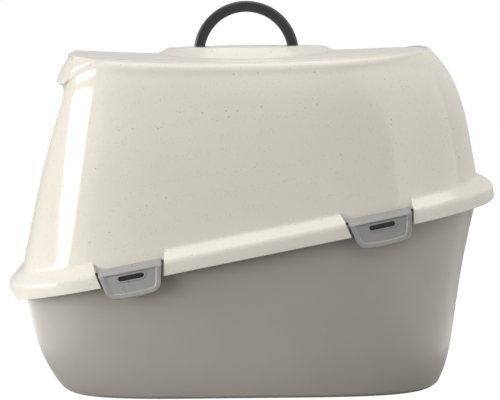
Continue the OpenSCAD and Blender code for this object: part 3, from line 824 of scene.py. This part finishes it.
def notch_sheet(side, end, grow, section):
    """A solid across a notch whose cross-section follows the wall: places out from it, heights."""
    cols = np.linspace(-1, 1, PLATE_COLS)
    sections = []
    for u in cols:
        row = []
        for out, h in section:
            y = u * (clip_half(h) + NOTCH_GAP + grow)
            row.append((behind(y, h, end) + out, y, h))
        sections.append(at_clip(row, side, end))
    m = len(section)
    verts = [p for row in sections for p in row]
    faces = [tuple(range(m)), tuple(range(len(verts) - m, len(verts)))[::-1]]
    for k in range(PLATE_COLS - 1):
        for i in range(m):
            a, b = k * m + i, k * m + (i + 1) % m
            faces.append((b, a, a + m, b + m))
    return mesh_object("sheet", verts, faces, smooth=False)


def notch_cutter(side, end):
    """What is cut from the rim at a clip, between tapered sides and down to the wall."""
    levels = np.linspace(FLANGE_TOP + 0.5, NOTCH_TOP, 9)
    section = [(NOTCH_CLEAR, h) for h in levels]
    section += [(NOTCH_OUT, NOTCH_TOP), (NOTCH_OUT, NOTCH_LOW), (NOTCH_CLEAR, NOTCH_LOW)]
    return notch_sheet(side, end, 0, section)


def notch_plate(side, end):
    """The wall behind a clip, drawn thicker and wider than it stays: the notch trims its outside."""
    low, high = FLANGE_TOP + 2 * SEAT_GAP, LEDGE_TOP - 2.6
    section = [(-WALL, low), (1.4, low), (1.4, high - 3), (0.3, high + 1.6), (-WALL, high)]
    return notch_sheet(side, end, CLIP_WEB / 2, section)


def notch_web(side, end, way):
    """One of the two webs beside a notch, over the base's flange."""
    low = FLANGE_TOP + SEAT_GAP
    back = FOOT_W - HALF_W - WALL / 2
    section = [
        (-INNER_IN + WALL / 2, low),
        (CORNER[0] + WALL / 4, CORNER[1] + WALL / 2),
        (back, INNER_TOP + WALL / 2 - 0.6),
        (back, low),
    ]
    near, far = -1.0, NOTCH_GAP + CLIP_WEB
    ways = [[(x, way * (clip_half(h) + d), h) for x, h in section] for d in (near, far)]
    return prism("web", *[at_clip(w, side, end) for w in ways])


SIDES = [(side, end) for side in (-1, 1) for end in (-1, 1)]


# ---- hood -------------------------------------------------------------------
def soft_ramp(u, k=0.16):
    """A straight ramp from 0 to 1 with both of its corners rounded."""
    u = np.clip(u, -k, 1 + k)
    if u < k:
        return (u + k) ** 2 / (4 * k)
    if u > 1 - k:
        return 1 - (1 + k - u) ** 2 / (4 * k)
    return u


def hood_rings():
    t = WALL
    inner = [
        level_ring(BAY_R, BAY_TOP),
        level_ring(BAY_R, WELL_UNDER),
        level_ring(WELL_R + WELL_WALL, WELL_UNDER),
        crown_ring(WELL_R + WELL_WALL, 1, t),
        crown_ring(CROWN_R - t, 1, t),
        crown_ring(CROWN_BASE - t, 0, t),
        roof_ring(EDGE_W - t, TOP_F - 2 * t, TOP_R - 2 * t, t + STEP),
        shoulder_ring(45, t),
    ]
    inner += [wall_ring(s, t) for s in (1, 0.9, 0.8, 0.65, 0.5, 0.35, 0.2)]
    x, y = outline(FOOT_W - t, FOOT_F - t, FOOT_R - t)
    inner += [ring(x, y, rim_z(y) + INNER_TOP), edge_ring(INNER_IN, INNER_H)]
    rim = rounded(
        [
            inner[-1],
            edge_ring(t, 0),
            edge_ring(0, 0),
            edge_ring(RIM_LEAN, RIM_FACE),
            wall_ring(0, 0),
            wall_ring(0.06, 0),
        ],
        [0, 0.7, 1.0, 4.2, 3.4, 0],
        5,
    )[1:]
    wall = [wall_ring(s, 0) for s in np.linspace(0.1, 1, 25)]
    shoulder = [shoulder_ring(a, 0) for a in (10, 20, 30, 40, 50, 60, 70, 80, 87)]
    face = [visor_ring(k) for k in (0, 0.12, 0.25, 0.4, 0.55, 0.7, 0.85, 1)]
    inward = [roof_ring(EDGE_W - d, TOP_F - VISOR_BROW - d, TOP_R - d, STEP) for d in (8, 16, 26)]
    ridge = rounded(
        [shoulder[-1], shoulder_ring(90, 0), *face, inward[0]], [0, 0.8, 2.0, *[0] * 6, 1.6, 0], 3
    )[1:]
    crown = [crown_ring(CROWN_R + CROWN_FLANK * (1 - u), soft_ramp(u)) for u in np.linspace(-0.16, 1.16, 18)]
    well = rounded(
        [
            crown_ring(WELL_R + 8, 1),
            crown_ring(WELL_R, 1),
            level_ring(WELL_R, WELL_FLOOR),
            level_ring(ISLAND_R, WELL_FLOOR),
            crown_ring(ISLAND_R, 1, ISLAND_SINK),
            crown_ring(ISLAND_R - 8, 1, ISLAND_SINK),
        ],
        [0, 1.4, 2.0, 2.0, 1.4, 0],
        4,
    )
    island = [crown_ring(r, 1, ISLAND_SINK) for r in (32, 20, 10)]
    return inner + rim + wall + shoulder + ridge + inward[1:] + crown + well + island


def slot_cutter(x):
    """A vent slot with round ends, through the island's top."""
    half, r = math.sqrt((BAY_R - VENT_EDGE) ** 2 - x * x) - VENT_W / 2, VENT_W / 2
    arc = np.linspace(0, math.pi, 9)
    pts = [(x + r * math.cos(a), half + r * math.sin(a)) for a in arc]
    pts += [(x - r * math.cos(a), -half - r * math.sin(a)) for a in arc]
    levels = (BAY_TOP - 2, CROWN_Z + 8)
    return prism("vent", *[[(px, py + CROWN_Y, z) for px, py in pts] for z in levels])


def doorway_points(grow, step=6):
    """The doorway's outline in X and Z, with its outward normals."""
    half = DOOR_W / 2
    pts = []
    for cx, cz, r, a0 in (
        (half - DOOR_CORNER, SILL_Z + DOOR_CORNER, DOOR_CORNER, -90),
        (half - DOOR_TOP_CORNER, LINTEL_Z - DOOR_TOP_CORNER, DOOR_TOP_CORNER, 0),
        (DOOR_TOP_CORNER - half, LINTEL_Z - DOOR_TOP_CORNER, DOOR_TOP_CORNER, 90),
        (DOOR_CORNER - half, SILL_Z + DOOR_CORNER, DOOR_CORNER, 180),
    ):
        for k in range(13):
            a = math.radians(a0 + 90 * k / 12)
            nx, nz = math.cos(a), math.sin(a)
            pts.append((cx + (r + grow) * nx, cz + (r + grow) * nz, nx, nz))
    out = []
    for p, q in zip(pts, pts[1:] + pts[:1]):
        gap = math.hypot(q[0] - p[0], q[1] - p[1])
        count = max(1, int(gap / step))
        for k in range(count):
            u = k / count
            n = unit((p[2] * (1 - u) + q[2] * u, p[3] * (1 - u) + q[3] * u))
            out.append((p[0] * (1 - u) + q[0] * u, p[1] * (1 - u) + q[1] * u, n[0], n[1]))
    return out


# The lip round the doorway: distance out from the opening, distance in from the hood's front
PORCH_LIP = (
    (0.0, 1.6),
    (0.25, 0.3),
    (0.9, -0.6),
    (1.7, -0.8),
    (2.5, -0.5),
    (3.2, 0.5),
    (3.2, 2.4),
    (PORCH_WALL, 3.2),
)


def make_porch(tree):
    """The duct behind the doorway; its rounded front lip stands proud of the hood's front."""
    sections = []
    for x, z, nx, nz in doorway_points(0):
        start = ((x + PORCH_WALL / 2 * nx) * MM, -BODY_LEN * MM, (z + PORCH_WALL / 2 * nz) * MM)
        front = tree.ray_cast(Vector(start), Vector((0, 1, 0)))[0].y / MM
        back = -PORCH_Y
        profile = [(0.4, back), (0.0, back - 0.5), (0.0, (front + back) / 2)]
        profile += [(n, front + d) for n, d in PORCH_LIP]
        profile += [(PORCH_WALL, back - 0.5), (PORCH_WALL - 0.4, back)]
        sections.append([(x + n * nx, y, z + n * nz) for n, y in profile])
    porch = closed_loop("hood_porch", sections)
    face_outward(porch)
    finish_shading(porch, 40)
    return porch


def hinge_boss(side):
    """A round boss on the duct's side that takes the door's pin."""
    r, x0, x1 = HINGE_BOSS_R, DOOR_W / 2 + 1.0, DOOR_W / 2 + 5.5
    y, z = DOOR_IN - HALF_LEN, LINTEL_Z - DOOR_HEAD
    angles = np.linspace(0, 2 * math.pi, 33)[:-1]
    rings = []
    for x, rr in ((x0, r), (x1 - 0.6, r), (x1, r - 0.6)):
        rings.append(np.array([(side * x, y + rr * math.cos(a), z + rr * math.sin(a)) for a in angles]))
    obj = skin("boss", rings, np.array((side * x0, y, z)), np.array((side * x1, y, z)))
    face_outward(obj)
    return obj


def make_hood(mats):
    rings = hood_rings()
    obj = skin(
        "hood_shell",
        rings,
        np.array((0, CROWN_Y, BAY_TOP)),
        np.array((0, CROWN_Y, float(crown_top(0, 0)) - ISLAND_SINK)),
    )
    face_outward(obj)
    tree = BVHTree.FromObject(obj, bpy.context.evaluated_depsgraph_get())
    added = [notch_web(*q, way) for q in SIDES for way in (-1, 1)]
    added += [notch_plate(*q) for q in SIDES]
    for part in added:
        face_outward(part)
        boolean(obj, part, "UNION")
    pitch = 2 * (BAY_R - VENT_EDGE - 2) / VENTS
    cutters = [notch_cutter(*q) for q in SIDES]
    cutters += [slot_cutter((i - (VENTS - 1) / 2) * pitch) for i in range(VENTS)]
    door = [(x, z) for x, z, _, _ in doorway_points(PORCH_WALL / 2)]
    ends = (-HALF_LEN - 5, -PORCH_Y - 1)
    cutters.append(prism("door", *[[(x, y, z) for x, z in door] for y in ends]))
    for cutter in cutters:
        face_outward(cutter)
    boolean(obj, join(cutters, "cutters"), "DIFFERENCE")
    finish_shading(obj)
    porch = make_porch(tree)
    bosses = join([hinge_boss(-1), hinge_boss(1)], "hood_hinge_bosses")
    finish_shading(bosses)
    for piece in (obj, porch, bosses):
        piece.data.materials.clear()
        piece.data.materials.append(mats["hood"])
        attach(piece, "hood")
    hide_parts("hood")


# ---- base pan ---------------------------------------------------------------
def turn_in(k, s, p, q):
    return k[0] * (1 - s**p) + k[1] * (1 - s) ** q


def base_ring(s, inset):
    """s runs from the foot to the flange, inset is the depth in the wall."""
    x, y = outline(
        HALF_W - BASE_SIDE_IN - turn_in(BASE_SIDE, s, *SIDE_POWERS) - inset,
        HALF_LEN - BASE_FRONT_IN - turn_in(BASE_FRONT, s, *FRONT_POWERS) - inset,
        HALF_LEN - BASE_REAR_IN - turn_in(BASE_REAR, s, *REAR_POWERS) - inset,
    )
    return ring(x, y, FOOT_H * (1 - s) + (rim_z(y) + FLANGE_TOP - FLANGE_T) * s)


def floor_ring(inset, z):
    x, y = outline(
        HALF_W - BASE_SIDE_IN - sum(BASE_SIDE) - inset,
        HALF_LEN - BASE_FRONT_IN - sum(BASE_FRONT) - inset,
        HALF_LEN - BASE_REAR_IN - sum(BASE_REAR) - inset,
    )
    return ring(x, y, z)


def make_base(mats):
    t = WALL
    floor_z = RECESS + WALL
    x, y = base_ring(1, t)[:, 0], base_ring(1, t)[:, 1]
    levels = (0.03, 0.06, 0.1, 0.16, 0.23, 0.3, 0.4, 0.5, 0.63, 0.75, 0.88)
    inner = [floor_ring(t + FLOOR_FILLET, floor_z)] + [base_ring(s, t) for s in levels]
    flange = rounded(
        [
            inner[-1],
            ring(x, y, rim_z(y) + FLANGE_TOP),
            edge_ring(FLANGE_IN, FLANGE_TOP),
            edge_ring(FLANGE_IN, LIP_UNDER),
            edge_ring(FLANGE_IN + FLANGE_T, LIP_UNDER),
            edge_ring(FLANGE_IN + FLANGE_T, FLANGE_TOP - FLANGE_T),
            base_ring(1, 0),
            base_ring(0.96, 0),
        ],
        [0, 2, 1.2, 0.9, 0.9, 1, 1, 0],
        3,
    )[1:]
    levels = np.concatenate([np.linspace(0.92, 0.3, 16), np.linspace(0.27, 0.02, 16)])
    wall = [base_ring(s, 0) for s in levels]
    foot = rounded(
        [
            wall[-1],
            base_ring(0, 0),
            floor_ring(FOOT_IN, FOOT_H),
            floor_ring(FOOT_IN, 0),
            floor_ring(FOOT_IN + TREAD, 0),
            floor_ring(FOOT_IN + TREAD + RECESS, RECESS),
            floor_ring(FOOT_IN + TREAD + 10, RECESS),
        ],
        [0, 1.5, 0.8, 0.5, 0.8, 0.8, 0],
        3,
    )[1:]
    rings = inner + flange + wall + foot
    obj = skin("base_pan_shell", rings, np.array((0, 0, floor_z)), np.array((0, 0, RECESS)))
    face_outward(obj)
    finish_shading(obj)
    obj.data.materials.append(mats["base"])
    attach(obj, "root")
    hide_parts("base_pan")


# ---- clips ------------------------------------------------------------------
PIVOT = (-PIVOT_IN, PIVOT_H)
FACE_X = 1.2
FOOT_BOW = 1
CLIP_TOP = (
    PIVOT[0] - CLIP_LEAF * math.cos(math.radians(LEAF_UP)),
    PIVOT[1] + CLIP_LEAF * math.sin(math.radians(LEAF_UP)),
)
CLIP_BEND = (FACE_X, CLIP_BEND_H)
CLIP_TOE = (FACE_X + CLIP_FLARE, TOE_H - CLIP_DROP)
CLIP_LIP = (FACE_X + 1.8 * CLIP_FLARE, -CLIP_DROP - FOOT_BOW - 1)
# How thick the leaf is: at a height midway up it, and at its end
LEAF_MID = (17.8, 2.0)
LEAF_T = 0.95
CLIP_EDGE = 1.2
PANEL_IN = 4.6
PANEL_DEEP = 1.5
PANEL_STEP = 1.6
BEAD = 0.8
# The black sheet in each slot's back is painted shade: how far its front stands out from the clip's back
# face, how far it reaches past the slot's edge, and its thickness
SHADE_SHEET_UP = 0.3
SHADE_SHEET_PRESS = 0.05
SHADE_SHEET_T = 0.9


def clip_section(h):
    """Where the clip's outer face lies at a height over the rim's plane."""
    xs = (CLIP_LIP[0], CLIP_TOE[0], CLIP_BEND[0], CLIP_TOP[0])
    hs = (CLIP_LIP[1], CLIP_TOE[1], CLIP_BEND[1], CLIP_TOP[1])
    near = np.linspace(-1.6, 1.6, 9)
    return float(np.mean([np.interp(h + d, hs, xs) for d in near]))


def clip_thickness(h):
    """The clip is thinner above its bend, so that it clears the base's flange as it turns."""
    return float(np.interp(h, (CLIP_BEND[1], LEAF_MID[0], CLIP_TOP[1]), (CLIP_T, LEAF_MID[1], LEAF_T)))


def clip_path(count):
    """The clip's lower edge from one side to the other: rounded corners and a bowed foot."""
    taper = math.radians(CLIP_TAPER)
    cz = -CLIP_DROP + CLIP_CORNER
    cy = clip_half(cz) - CLIP_CORNER / math.cos(taper)
    turns = np.linspace(-taper, -math.pi / 2, 24)
    arc = [(cy + CLIP_CORNER * math.cos(a), cz + CLIP_CORNER * math.sin(a)) for a in turns]
    bowed = [(cy * u, -CLIP_DROP - FOOT_BOW * (1 - u * u)) for u in np.linspace(1, 0, 12)[1:]]
    right = np.array(arc + bowed)
    path = np.concatenate([right, (right * (-1, 1))[::-1][1:]])
    run = np.concatenate([[0], np.cumsum(np.linalg.norm(np.diff(path, axis=0), axis=1))])
    at = np.linspace(0, run[-1], count)
    return np.stack([np.interp(at, run, path[:, k]) for k in (0, 1)], 1)


def edge_distance(y, h, path):
    """How far a point of the face lies from the clip's sides and lower edge."""
    p = np.array((y, h))
    a, b = path[:-1], path[1:]
    ab = b - a
    u = np.clip(((p - a) * ab).sum(1) / (ab * ab).sum(1), 0, 1)
    return float(np.linalg.norm(a + ab * u[:, None] - p, axis=1).min())


def clip_face_height(d, from_bend):
    """Height of the face's relief at a distance from the edge, with a sunk middle panel."""
    height = 0.0
    if d < CLIP_EDGE:
        height -= CLIP_EDGE - math.sqrt(max(0.0, CLIP_EDGE**2 - (CLIP_EDGE - d) ** 2))
    inside = min((d - PANEL_IN) / PANEL_STEP, (from_bend - 1.6) / PANEL_STEP)
    u = min(1.0, max(0.0, inside))
    return height - PANEL_DEEP * u * u * (3 - 2 * u)


def slot_line(r, count):
    """Points round the slot at a distance from its middle line, with their outward normals."""
    half = (SLOT_LEN - SLOT_W) / 2
    arc = [(math.sin(a), math.cos(a)) for a in np.linspace(0, math.pi, count)]
    line = [(half + r * s, SLOT_H + r * c, s, c) for s, c in arc]
    return line + [(-half - r * s, SLOT_H - r * c, -s, -c) for s, c in arc]


def make_clip_solid():
    """One clip's shell in the rim's frame, with a sunk panel and a slot."""
    cols, rows = 121, 74
    path = clip_path(cols)
    half = clip_half(CLIP_TOP[1])
    sides = np.concatenate([[(half, CLIP_TOP[1])], path, [(-half, CLIP_TOP[1])]])
    top = np.linspace(half, -half, cols)
    front, back = [], []
    for r in np.linspace(0, 1, rows):
        for c in range(cols):
            y = top[c] * (1 - r) + path[c, 0] * r
            h = CLIP_TOP[1] * (1 - r) + path[c, 1] * r
            x = clip_section(h)
            slope = (clip_section(h + 0.2) - clip_section(h - 0.2)) / 0.4
            normal = unit((1, -slope))
            d = edge_distance(y, h, sides)
            d = min(d, (CLIP_TOP[1] - h) * 1.2)
            lift = clip_face_height(d, CLIP_BEND[1] - h)
            front.append((x + lift * normal[0], y, h + lift * normal[1]))
            t = clip_thickness(h)
            back.append((x - t * normal[0], y, h - t * normal[1]))
    n = rows * cols
    faces = []
    for r in range(rows - 1):
        for c in range(cols - 1):
            a = r * cols + c
            faces.append((a, a + 1, a + cols + 1, a + cols))
            faces.append((n + a, n + a + cols, n + a + cols + 1, n + a + 1))
    border = list(range(cols)) + [r * cols + cols - 1 for r in range(1, rows)]
    border += [(rows - 1) * cols + c for c in range(cols - 2, -1, -1)]
    border += [r * cols for r in range(rows - 2, 0, -1)]
    for a, b in zip(border, border[1:] + border[:1]):
        faces.append((a, b, n + b, n + a))
    obj = mesh_object("clip", front + back, faces)
    face_outward(obj)
    hole = slot_line(SLOT_W / 2, 15)
    cutter = prism("slot", *[[(x, y, h) for y, h, _, _ in hole] for x in (-PIVOT_IN, 2 * PIVOT_IN)])
    face_outward(cutter)
    boolean(obj, cutter, "DIFFERENCE")
    finish_shading(obj, 40)
    return obj


def slot_rim():
    """A fine raised bead round the slot."""
    sections = []
    for y, h, ny, nh in slot_line(SLOT_W / 2 + BEAD / 2, 13):
        x = clip_section(h) - PANEL_DEEP + BEAD / 4
        sections.append(
            [
                (x + BEAD * math.sin(a), y + BEAD * math.cos(a) * ny, h + BEAD * math.cos(a) * nh)
                for a in np.linspace(0, 2 * math.pi, 11)[:-1]
            ]
        )
    obj = closed_loop("rim", sections)
    face_outward(obj)
    return obj


def rod(name, radius, half, at, ends=0.5):
    """A round rod along the rim, with rounded ends."""
    angles = np.linspace(0, 2 * math.pi, 33)[:-1]
    rings = []
    small = radius - ends
    for y, r in ((-half, small), (-half + ends, radius), (half - ends, radius), (half, small)):
        rings.append(np.array([(at[0] + r * math.cos(a), y, at[1] + r * math.sin(a)) for a in angles]))
    obj = skin(name, rings, np.array((at[0], -half, at[1])), np.array((at[0], half, at[1])))
    face_outward(obj)
    finish_shading(obj)
    return obj


def slot_shade_sheet():
    """A black sheet that fills the slot's back: painted shade, so that the slot looks as dark as a deep
    hollow.
    """
    hole = slot_line(SLOT_W / 2 + SHADE_SHEET_PRESS, 13)
    front = FACE_X - CLIP_T + SHADE_SHEET_UP
    obj = prism("painted_shade", *[[(x, y, h) for y, h, _, _ in hole] for x in (front - SHADE_SHEET_T, front)])
    face_outward(obj)
    return obj


def rib_solid():
    """The rib behind a clip, which stands beside the lip of the base's flange."""
    top, tip, root = LIP_UNDER + RIB_OVER_LIP, SEAT_GAP - FLANGE_IN, FACE_X - CLIP_T / 2
    ease = 0.3
    section = [(root, top), (tip + ease, top), (tip, top - ease), (tip, top - RIB_T + ease)]
    section += [(tip + ease, top - RIB_T), (root, top - RIB_ROOT)]
    obj = prism("rib", *[[(x, y, h) for x, h in section] for y in (-RIB_W / 2, RIB_W / 2)])
    face_outward(obj)
    return obj


def make_clips(mats):
    body = join(
        [
            make_clip_solid(),
            slot_rim(),
            rod("barrel", BARREL_R, clip_half(PIVOT_H) - 0.5, PIVOT),
            rib_solid(),
        ],
        "clip_body",
    )
    pin_half = clip_half(PIVOT_H) + NOTCH_GAP + PIN_REACH
    pin = rod("clip_pin", CLIP_PIN_D / 2, pin_half, PIVOT, 0.3)
    # The dark sheet in each slot is painted shade; it takes the pins' dark material.
    painted_shade = slot_shade_sheet()
    kinds = ((body, "_shell", "clip"), (pin, "_pins", "pin"), (painted_shade, "_slot_shade_sheet", "pin"))
    for side, end in SIDES:
        name = f"clip_{'front' if end < 0 else 'rear'}_{'right' if side > 0 else 'left'}"
        for source, suffix, mat in kinds:
            mesh = source.data.copy()
            mesh.name = name + suffix
            points = at_clip([v.co / MM for v in mesh.vertices], side, end)
            mesh.vertices.foreach_set("co", (np.array(points) * MM).ravel())
            if side < 0:
                mesh.flip_normals()
            mesh.materials.clear()
            mesh.materials.append(mats[mat])
            mesh.update()
            obj = bpy.data.objects.new(name + suffix, mesh)
            bpy.context.scene.collection.objects.link(obj)
            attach(obj, name)
            if suffix == "_shell":
                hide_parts(name)
    for source in (body, pin, painted_shade):
        bpy.data.objects.remove(source)


# ---- pieces kept from the frame ---------------------------------------------
KEPT = (("swing_door", "door"), ("handle", "handle"), ("filter_pad", "foam"), ("filter_holder", "holder"))


def dress_cad(mats):
    for node, mat in KEPT:
        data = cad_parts[node].data
        data.materials.clear()
        data.materials.append(mats[mat])


make_camera()
make_world()
make_floor()
make_lights()
materials = make_materials()
make_base(materials)
make_hood(materials)
make_clips(materials)
dress_cad(materials)
bpy.context.scene.view_settings.view_transform = "Standard"
